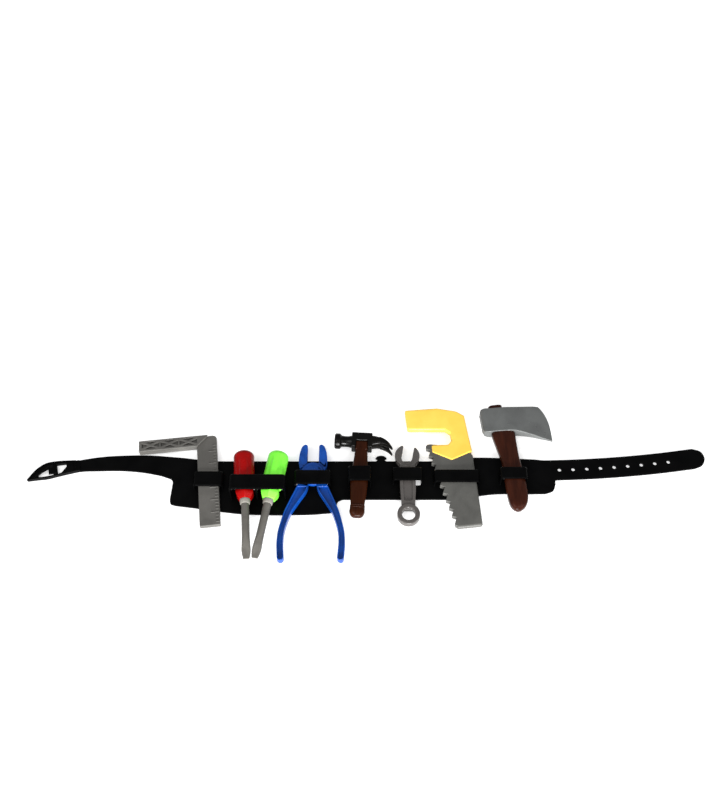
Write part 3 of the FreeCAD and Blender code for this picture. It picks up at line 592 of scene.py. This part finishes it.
def build_square():
    seat = seat_on_loop("square", "square_out", -1.5)
    z0, z1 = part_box("square_arm")[0].z / MM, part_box("square_arm")[1].z / MM
    left, low, high, start = -79.0, 46.0, 60.0, -11.7
    outline = rounded([(left, low), (start, low), (start + high - low, high), (left, high)], 0.9)
    mid_y = (low + high) / 2
    pitch = (start + 1.5 - left - 2.5) / 3
    pockets = []
    for i in range(3):
        a = left + 3.3 + pitch * i
        b = a + pitch - 1.6
        mid = (a + b) / 2
        for tri in ([(a + 3.0, low + 2.4), (b - 3.0, low + 2.4), (mid, mid_y - 1.2)],
                    [(a + 3.0, high - 2.0), (mid, mid_y + 1.4), (b - 3.0, high - 2.0)],
                    [(a, low + 3.8), (mid - 3.0, mid_y), (a, high - 3.4)],
                    [(b, low + 3.8), (b, high - 3.4), (mid + 3.0, mid_y)]):
            pockets.append(rounded(tri, 0.5))
    base = slab_bm(outline, [], z0, z1 - 2.6, 0.5)
    face = slab_bm(outline, pockets, z1 - 3.6, z1, 0.35)
    arm = finish_mesh("square_stock", join_bm([base, face]), seat, square_grey)
    done(arm, "square", ["square_arm"])

    z0, z1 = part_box("square_blade")[0].z / MM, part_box("square_blade")[1].z / MM
    foot = -57.5
    rule = [(-11.7, foot), (11.7, foot), (11.7, 56), (10.6, 58.6), (7.9, 60), (2.3, 60), (-11.7, 46)]
    parts = [slab_bm(rounded(rule, 0.8), [], z0, z1, 0.5)]
    for i in range(1, 27):
        y = foot + 4.0 * i
        reach = 9.5 if i % 4 == 0 else 4.0
        parts.append(slab_bm(rect(11.0 - reach, 11.0, y - 0.45, y + 0.45, 0.2), [], z1 - 0.3, z1 + 0.55, 0.2))
    blade = finish_mesh("square_rule", join_bm(parts), seat, square_grey)
    done(blade, "square", ["square_blade"])


build_square()


# ---------------------------------------------------------------- screwdrivers

def lathe_bm(profile, z, flute=None, n=72):
    rows = []
    for r, y in profile:
        ring = []
        for k in range(n):
            t = 2 * math.pi * k / n
            rr = r if flute is None else flute(r, y, t)
            ring.append((rr * math.cos(t), y, z + rr * math.sin(t)))
        rows.append(ring)
    return grid_bm(rows)


def build_driver(colour, material):
    c = centre(colour + "_collar")
    joint = colour + "_driver_out"
    y_seat = centre("loop_drivers").y + 3.5 * MM
    axis = JOINTS[joint]["axis"]
    seat = Seat(c.x + (y_seat - c.y) * axis[0] / axis[1], y_seat, joint)
    z = centre(colour + "_handle").z / MM
    body = colour + "_driver"
    radius, top, end, neck = 12.0, 41.8, -5.0, -19.4

    def grip(r, y, t):
        """Six broad shallow flutes that fade out under the crown, then a six-sided bolster."""
        if y > end:
            depth = 0.9 * min(1.0, max(0.0, (top - 7.0 - y) / 6.0)) * min(1.0, max(0.0, (y - end) / 3.0))
            return r - depth * max(0.0, math.cos(6 * t)) ** 1.3
        six = (t + math.pi / 2) % (math.pi / 3) - math.pi / 6
        flat = r * math.cos(math.pi / 6) / math.cos(six)
        mix = min(1.0, (end - y) / 2.0)
        return r * (1 - mix) + min(flat, r) * mix

    profile = [(0.05, top), (2.2, top - 0.05)]
    profile += [(5.5 + 6.5 * math.sin(a), top - 6.6 + 6.5 * math.cos(a))
                for a in [math.pi / 2 * k / 12 for k in range(13)]]
    profile += [(radius, top - 10 - 2.8 * k) for k in range(13)]
    profile += [(radius, -2.0), (radius - 0.3, -3.4), (radius - 1.2, -4.4), (9.6, -4.9), (9.4, -5.3)]
    profile += [(10.4, -6.2), (11.2, -7.6), (11.5, -9.4), (11.4, -11.4), (10.9, -13.4), (9.9, -15.6),
                (8.8, -17.6), (7.9, -19.0), (7.4, -19.3), (5.0, neck)]
    handle = finish_mesh(colour + "_grip", lathe_bm(profile, z, grip, 96), seat, material, 50)
    done(handle, body, [colour + "_handle"])

    ring = [(4.0, neck + 0.1), (5.9, neck + 0.05), (6.2, neck - 0.5), (6.0, neck - 2.6), (5.6, neck - 5.0),
            (5.2, neck - 5.7), (4.0, neck - 5.8)]
    collar = finish_mesh(colour + "_ferrule", lathe_bm(ring, z), seat, collar_pale)
    done(collar, body, [colour + "_collar"])

    # round rod that is pressed flat and spreads towards the tip
    rows = []
    stations = smooth([(-24.9, 4.5, 4.5), (-48, 4.5, 4.5), (-68, 4.6, 4.3), (-76, 4.8, 3.2), (-82, 5.1, 2.1),
                       (-88, 4.4, 1.3), (-92.4, 3.4, 1.0)], 6)
    for y, wide, deep in stations:
        power = 2.0 + 3.0 * max(0.0, min(1.0, (-66 - y) / 14))
        rows.append([(x, y, z + dz) for x, dz in oval(wide, deep, power, 48)])
    shaft = finish_mesh(colour + "_rod", grid_bm(rows), seat, rod_grey)
    done(shaft, body, [colour + "_shaft"])


build_driver("red", red_grip)
build_driver("green", green_grip)


# ---------------------------------------------------------------- pliers

PLIERS_EYE_R = 13.5
PLIERS_PIN_R = 3.0
PLIERS_CLEAR_R = 14.1     # the full-thickness limbs stop at this radius round the other half's eye


def round_eye(sign, degrees):
    """Points where a limb is cut to clear the other half's eye."""
    r = PLIERS_CLEAR_R
    return [(sign * r * math.cos(math.radians(a)), r * math.sin(math.radians(a))) for a in degrees]


def build_pliers():
    pin = centre("pliers_pin")
    seat = Seat(pin.x, pin.y)
    z0, z1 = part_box("pliers_half_a")[0].z / MM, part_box("pliers_half_a")[1].z / MM
    mid = (z0 + z1) / 2
    outer_line = [(14.5, -8), (18.2, -18), (26.0, -36.6), (31.0, -49.3), (34.4, -62), (37.2, -75),
                  (38.1, -87), (37.2, -106)]
    inner_line = [(4.4, -13.5), (5.4, -19), (15.4, -37.2), (22.3, -49.3), (26.6, -60.5), (30.2, -76),
                  (30.8, -87), (29.4, -106)]
    for side, name, node, body in ((-1, "pliers_limb_a", "pliers_half_a", "pliers_a"),
                                   (1, "pliers_limb_b", "pliers_half_b", "pliers_b")):
        s, h = side, -side
        low = side < 0
        # jaw with small teeth on its inner side, clear of the pivot disc
        teeth = []
        for k in range(14):
            y = 33.8 - 1.4 * k
            teeth += [(s * 6.6, y), (s * 7.3, y - 0.7)]
        heel = round_eye(s, (62, 54, 46, 38, 30))
        cheek = [(15.2, 6.4), (16.3, 11), (16.4, 20), (15.0, 29), (12.0, 36), (9.8, 37.4), (7.6, 36.9),
                 (6.6, 35.2)]
        blunt = [(s * x, y) for x, y in smooth(cheek, 6)]
        parts = [slab_bm(blunt + teeth + heel, [], z0, z1, 0.55)]
        web = [(s * 9.2, 13.0), (s * 13.6, 9.6), (s * 14.6, 14), (s * 14.4, 21), (s * 13.0, 29),
               (s * 11.4, 33.6), (s * 10.2, 28), (s * 9.4, 20)]
        parts.append(slab_bm(rounded(web, 1.0), [], z1 - 0.8, z1 + 0.35, 0.3))
        # half-thickness eye around the pivot
        za, zb = (z0, mid - 0.2) if low else (mid + 0.2, z1)
        bore_r = PLIERS_PIN_R if low else PLIERS_PIN_R + 0.15
        parts.append(slab_bm(circle(0, 0, PLIERS_EYE_R, 72), [circle(0, 0, bore_r, 40)], za, zb, 0.5))
        if not low:
            parts.append(slab_bm(circle(0, 0, 12.4, 64), [circle(0, 0, 10.0, 56)], z1 - 0.4, z1 + 0.45, 0.3))
        # stubs that carry the jaw and the handle past the eye
        jaw_stub = [(5.8, 4.4), (12.8, 2.4), (15.6, 8.6), (15.8, 13.0), (6.8, 14.8)]
        handle_stub = [(4.0, -5.0), (12.4, -3.6), (15.6, -11.4), (13.0, -16.0), (5.2, -18.0)]
        for sign, stub in ((s, jaw_stub), (h, handle_stub)):
            parts.append(slab_bm([(sign * x, y) for x, y in stub], [], za, zb, 0.4))
        out_side = [Vector((h * x, y)) for x, y in smooth(outer_line, 7)]
        in_side = [Vector((h * x, y)) for x, y in smooth(inner_line, 7)]

        def limb_outline(trim, first):
            """Handle outline drawn in by trim, starting at this step from the pivot."""
            edges = []
            for a, b in list(zip(out_side, in_side))[first:]:
                inward = (b - a).normalized() * trim
                edges.append((a + inward, b - inward))
            a, b = edges[-1]
            half = (a - b).length / 2
            cap = [(a + b) / 2 + (a - b) / 2 * math.cos(t) + Vector((0, -half)) * math.sin(t)
                   for t in [math.pi * k / 10 for k in range(1, 10)]]
            return [tuple(p) for p in [e[0] for e in edges] + cap + [e[1] for e in reversed(edges)]]

        root = round_eye(h, (-66, -56, -46, -36))
        parts.append(slab_bm(limb_outline(0.0, 0) + root, [], z0, z1 - 3.6, 0.6))
        parts.append(slab_bm(limb_outline(0.0, 0) + root, [limb_outline(1.5, 7)], z1 - 4.8, z1, 0.6))
        limb = finish_mesh(name, join_bm(parts), seat, pliers_blue)
        done(limb, body, [node])
    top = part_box("pliers_pin")[1].z / MM
    profile = [(0.05, top), (2.0, top - 0.08), (3.8, top - 0.4), (4.8, top - 0.9), (5.0, top - 1.2),
               (PLIERS_PIN_R, top - 1.3), (PLIERS_PIN_R, z0 + 0.2), (2.6, z0 + 0.05), (0.05, z0 + 0.05)]
    rows = [[(r * math.cos(t), r * math.sin(t), z) for t in [2 * math.pi * k / 40 for k in range(40)]]
            for r, z in profile]
    rivet = finish_mesh("pliers_rivet", grid_bm(rows), seat, pliers_blue)
    done(rivet, "pliers_a", ["pliers_pin"])


build_pliers()


# ---------------------------------------------------------------- hammer

def build_hammer():
    seat = seat_on_loop("hammer", "hammer_out", 2.0)
    z = centre("hammer_head").z / MM
    y = 43.0

    def ring(x, radius, n=48):
        return [(x, y + a, z + b) for a, b in oval(radius, radius, 2.0, n)]

    face = grid_bm([ring(-32.0, 0.05), ring(-32.0, 7.9), ring(-31.7, 8.5), ring(-31.0, 9.0), ring(-30.2, 9.2),
                    ring(-26.4, 9.2), ring(-25.4, 8.9), ring(-24.8, 8.2), ring(-24.3, 7.3), ring(-23.4, 6.8),
                    ring(-20.0, 6.4), ring(-16.0, 6.5), ring(-13.0, 7.2), ring(-11.4, 7.5), ring(-10.0, 7.5)])
    cheek = rounded([(-12, y - 9.5), (-7, y - 9.5), (-7, y - 1), (7, y - 1), (7, y - 9.5), (12, y - 9.5),
                     (12, y + 9.5), (-12, y + 9.5)], 1.2)
    upper = smooth([(9, 51.4), (16, 49.8), (24, 47.0), (31, 41.4), (36.5, 32.8)], 6)
    lower = smooth([(9, 35.4), (18, 38.0), (25, 37.5), (31, 35.0), (35.6, 31.4)], 6)

    def claw(first, last, inner_at, outer_at, side):
        """Wedge between the two curves, from and to these steps, with this depth along Z."""
        rows = []
        for a, b in list(zip(lower, upper))[first:last]:
            x = (a[0] + b[0]) / 2
            near, far = inner_at(x) * side, outer_at(x) * side
            rows.append([((a[0] + b[0]) / 2 + (b[0] - a[0]) / 2 * u,
                          (a[1] + b[1]) / 2 + (b[1] - a[1]) / 2 * u,
                          z + (near + far) / 2 + v) for u, v in oval(1.0, abs(far - near) / 2, 3.4, 40)])
        return grid_bm(rows)

    def spread(x):
        """Half depth of the claw, from its root to its tips."""
        return 7.0 + 2.2 * (x - 9) / 29

    def notch(x):
        """Half depth of the V between the two tips."""
        return max(0.0, 5.4 * (x - 19) / 19)

    parts = [face, slab_bm(cheek, [], z - 7.6, z + 7.6, 1.2), claw(0, 12, lambda x: -spread(x), spread, 1)]
    parts += [claw(9, 25, notch, spread, side) for side in (-1, 1)]
    head = finish_mesh("hammer_top", join_bm(parts), seat, hammer_black, 50)
    done(head, "hammer", ["hammer_head"])

    grip = haft_bm([(35.0, -7.1, 7.1, 5.4), (33.4, -7.2, 7.2, 5.5), (18.0, -8.3, 8.3, 5.5),
                    (3.0, -9.6, 9.6, 5.5),
                    (-10, -10.2, 10.2, 5.5), (-22, -9.5, 9.5, 5.5), (-34, -8.5, 8.5, 5.4), (-41, -8.0, 8.0,
                                                                                            5.3),
                    (-44.6, -8.3, 8.3, 5.4), (-48.0, -8.8, 8.8, 5.5), (-51.6, -7.8, 7.8, 5.0),
                    (-54.4, -5.4, 5.4, 3.6), (-55.3, -1.5, 1.5, 1.2)], z, 3.2)
    shoulder = slab_bm(rect(-6.9, 6.9, 31, y - 1.1, 0.8), [], z - 5.4, z + 5.4, 1.0)
    stub = slab_bm(rect(-5.5, 5.5, 38, 53.6, 1.2), [], z - 3.5, z + 3.5, 0.6)
    groove = []
    for y_ring in (-44.0, -41.6):
        rows = []
        for k in range(13):
            t = 2 * math.pi * k / 12
            rows.append([(x, y_ring + 0.5 * math.sin(t), z + dz)
                         for x, dz in oval(8.15 + 0.45 * math.cos(t), 5.35 + 0.4 * math.cos(t), 3.2, 40)])
        groove.append(grid_bm(rows, cap=False))
    handle = finish_mesh("hammer_grip", join_bm([grip, shoulder, stub] + groove), seat, hammer_brown, 50)
    done(handle, "hammer", ["hammer_handle"])


build_hammer()


# ---------------------------------------------------------------- wrench

def build_wrench():
    seat = seat_on_loop("wrench", "wrench_out", -1.0)
    seat.turn = 0.0
    z0, z1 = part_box("wrench")[0].z / MM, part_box("wrench")[1].z / MM
    jy, ry = 26.5, -49.3
    # open jaw: an almost round head with a deep mouth, turned a little to one side
    horn = 12.4
    arc = [(14.5 * math.cos(t), jy + 14.5 * math.sin(t)) for t in [math.radians(a) for a in range(60, -241,
                                                                                                  -5)]]
    arc = [p for p in arc if p[1] <= jy + horn + 0.01]
    mouth = smooth([(-6.3, jy + 11.4), (-6.25, jy + 2), (-6.2, jy - 3.4), (-4.4, jy - 8.0), (0, jy - 10.0),
                    (4.4, jy - 8.0), (6.2, jy - 3.4), (6.25, jy + 2), (6.3, jy + 11.4)], 6)
    head = [(8.2, jy + horn)] + arc + [(-8.2, jy + horn)] + mouth
    turn = Matrix.Rotation(math.radians(-10.0), 2)
    pivot = Vector((0, jy))
    head = [tuple(turn @ (Vector(p) - pivot) + pivot) for p in head]
    jaw = slab_bm(head, [], z0, z1, 0.9)
    ring = slab_bm(circle(0, ry, 13.0, 64), [circle(0, ry, 7.6, 48)], z0, z1, 1.2)
    shank_out = (smooth([(-7.8, ry + 6), (-7.9, ry + 14), (-9.0, -18), (-9.0, 4), (-9.2, 18)], 6)
                 + smooth([(9.2, 18), (9.0, 4), (9.0, -18), (7.9, ry + 14), (7.8, ry + 6)], 6))
    floor = slab_bm(shank_out, [], z0 + 0.7, z1 - 2.4, 0.6)
    channel = rounded([(-4.8, ry + 17), (4.8, ry + 17), (5.2, jy - 18), (-5.2, jy - 18)], 2.6)
    rim = slab_bm(shank_out, [channel], z1 - 3.6, z1 - 0.7, 0.6)
    obj = finish_mesh("wrench_forging", join_bm([jaw, ring, floor, rim]), seat, wrench_grey)
    done(obj, "wrench", ["wrench"])


build_wrench()


# ---------------------------------------------------------------- saw

def build_saw():
    seat = seat_on_loop("saw", "saw_out", 0.3)
    z0, z1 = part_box("saw_handle")[0].z / MM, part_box("saw_handle")[1].z / MM
    outline = [(-51, 67), (-52, 94), (-13, 94.6), (9, 89), (18.6, 82), (19.2, 70), (22, 32), (-3, 22),
               (-25, 34), (-25, 44), (-5, 43.4), (-0.5, 49), (-1, 58.5), (-6.5, 64)]
    grip = slab_bm(rounded(outline, 2.6, 6), [], z0, z1, 1.8)
    obj = finish_mesh("saw_grip", grip, seat, saw_yellow)
    done(obj, "saw", ["saw_handle"])

    z0, z1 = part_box("saw_blade")[0].z / MM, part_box("saw_blade")[1].z / MM
    upper, lower = Vector((-31.5, 40.0)), Vector((-9.0, -59.2))
    points = [(20.4, 30.0), (20.6, -60.4), (-6.0, -63.0), (-8.6, -61.8), tuple(lower)]
    count = 10
    for i in range(count):
        valley = lower.lerp(upper, (i + 0.70) / count)
        points += [(valley.x + 4.0, valley.y - 0.6), (valley.x + 4.8, valley.y + 0.2)]
        for part in (0.93, 1.0):
            crest = lower.lerp(upper, (i + part) / count)
            points.append(tuple(crest))
    points += [(-31.4, 43.2), (-29.4, 45.2), (-26.0, 45.4), (-18.0, 44.0), (-10.0, 38.0)]
    plate = slab_bm(points, [], z0, z1 - 0.04, 0.5)
    # the back and the end of the blade have a broad rounding
    border = [(8.0, 30), (22.3, 30), (22.5, -63.8), (-8.2, -65.0), (-6.0, -52), (6.0, -48)]
    back = slab_bm(rounded(border, 3.4, 6), [], z0, z1, 2.6)
    obj = finish_mesh("saw_plate", join_bm([plate, back]), seat, blade_grey, 30)
    done(obj, "saw", ["saw_blade"])


build_saw()


# ---------------------------------------------------------------- axe

def build_axe():
    seat = seat_on_loop("axe", "axe_out", 4.0)
    z = centre("axe_head").z / MM
    haft = haft_bm([(58.0, -14.2, 13.0, 5.8), (54.4, -14.4, 13.2, 6.0), (38.0, -13.0, 12.2, 6.0),
                    (19.0, -10.8, 11.2, 6.0), (8, -10.2, 11.3, 6.0), (-9.0, -12.0, 11.6, 6.0),
                    (-25, -13.0, 10.9, 6.0), (-35.0, -13.0, 9.8, 6.0),
                    (-40.6, -12.4, 7.8, 5.8), (-45.8, -10.0, 4.0, 4.8), (-49.2, -6.6, -1.4, 2.2)], z, 3.4)
    knob = haft_bm([(82.0, -11.0, 5.0, 5.4), (88.0, -11.2, 5.2, 5.7), (90.4, -11.2, 5.2, 5.8),
                    (91.4, -10.0, 4.0, 5.0), (91.8, -7.0, 1.0, 3.2)], z, 4.0)
    obj = finish_mesh("axe_haft", join_bm([haft, knob]), seat, axe_brown, 50)
    done(obj, "axe", ["axe_handle"])

    # head: columns from the rounded poll to the cutting edge, thick to thin
    top = smooth([(-22.4, 85.0), (-21.4, 86.6), (-19.4, 87.2), (-10, 86.9), (10.0, 86.0), (30, 85.2),
                  (44.0, 84.6), (48.6, 84.0)], 6)
    low = smooth([(-23.2, 58.8), (-22.4, 56.6), (-20.2, 55.5), (-8, 54.4), (14.6, 52.0), (30.6, 46.3),
                  (43.8, 39.9), (55.0, 34.4)], 6)
    rows = []
    n = 18
    poll_half, edge_half = 7.0, 1.2
    for i, (a, b) in enumerate(zip(low, top)):
        u = i / (len(low) - 1)
        x_mid = (a[0] + b[0]) / 2
        half = poll_half - (poll_half - edge_half) * min(1.0, max(0.0, (x_mid - 10) / 41))
        if x_mid < -14:
            half = 4.0 + 3.0 * math.sqrt(max(0.0, 1 - ((x_mid + 14) / 8.4) ** 2))
        bulge = 4.4 * max(0.0, (u - 0.7) / 0.3) ** 1.5
        front, back = [], []
        for k in range(n + 1):
            v = k / n
            x = a[0] + (b[0] - a[0]) * v + bulge * math.sin(math.pi * v ** 1.3) ** 0.8
            y = a[1] + (b[1] - a[1]) * v
            front.append((x, y, z + half))
            back.append((x, y, z - half))
        rows.append(front + back[::-1])
    head = grid_bm(rows)
    bmesh.ops.remove_doubles(head, verts=head.verts, dist=1e-4)
    sharp = [e for e in head.edges if len(e.link_faces) == 2 and e.calc_face_angle(0) > math.radians(50)]
    bmesh.ops.bevel(head, geom=sharp, offset=0.8, segments=3, affect="EDGES", profile=0.5)
    obj = finish_mesh("axe_blade", head, seat, axe_grey)
    done(obj, "axe", ["axe_head"])


build_axe()


# ---------------------------------------------------------------- floor, light, camera

CAMERA_PITCH = 57.0      # degrees above the table
CAMERA_DISTANCE = 1.3
CAMERA_AIM_Y = 0.1134    # the belt sits low in the picture
FLOOR_Z = -0.0006
FLOOR_HALF = 6.0


def build_stage():
    bpy.context.scene.view_settings.view_transform = "Standard"
    floor_mat = bpy.data.materials.new("floor")
    floor_mat.use_nodes = True
    surface = floor_mat.node_tree.nodes["Principled BSDF"]
    surface.inputs["Base Color"].default_value = (0.86, 0.86, 0.86, 1)
    surface.inputs["Roughness"].default_value = 0.9
    surface.inputs["Specular IOR Level"].default_value = 0.0
    surface.inputs["Emission Color"].default_value = (1, 1, 1, 1)
    surface.inputs["Emission Strength"].default_value = 0.45
    bm = bmesh.new()
    s = FLOOR_HALF
    corners = ((-s, -s), (s, -s), (s, s), (-s, s))
    bm.faces.new([bm.verts.new((x, y, FLOOR_Z)) for x, y in corners])
    mesh = bpy.data.meshes.new("floor")
    bm.to_mesh(mesh)
    bm.free()
    mesh.materials.append(floor_mat)
    floor = bpy.data.objects.new("floor", mesh)
    bpy.context.scene.collection.objects.link(floor)

    world = bpy.data.worlds.new("studio")
    bpy.context.scene.world = world
    world.use_nodes = True
    world.node_tree.nodes["Background"].inputs["Color"].default_value = (1, 1, 1, 1)
    world.node_tree.nodes["Background"].inputs["Strength"].default_value = 0.45

    for name, spot, size, power in (("key", (-0.9, -0.7, 1.9), 1.0, 16), ("fill", (1.2, -0.8, 1.7), 1.4, 11),
                                    ("front", (0.1, -2.2, 0.42), 1.0, 150)):
        light = bpy.data.lights.new(name, "AREA")
        light.size = size
        light.energy = power
        lamp = bpy.data.objects.new(name, light)
        lamp.location = spot
        lamp.rotation_mode = "QUATERNION"
        lamp.rotation_quaternion = (Vector((0, 0, 0)) - Vector(spot)).to_track_quat("-Z", "Y")
        bpy.context.scene.collection.objects.link(lamp)

    cam = bpy.data.cameras.new("camera")
    cam.lens = 48.0
    cam.sensor_width = 36.0
    cam.clip_start = 0.01
    cam.clip_end = 50
    rig = bpy.data.objects.new("camera", cam)
    pitch = math.radians(CAMERA_PITCH)
    target = Vector((SHIFT, CAMERA_AIM_Y, 0.0))
    back = Vector((0, -math.cos(pitch), math.sin(pitch)))
    rig.location = target + back * CAMERA_DISTANCE
    rig.rotation_mode = "QUATERNION"
    rig.rotation_quaternion = (-back).to_track_quat("-Z", "Y")
    bpy.context.scene.collection.objects.link(rig)
    bpy.context.scene.camera = rig


build_stage()
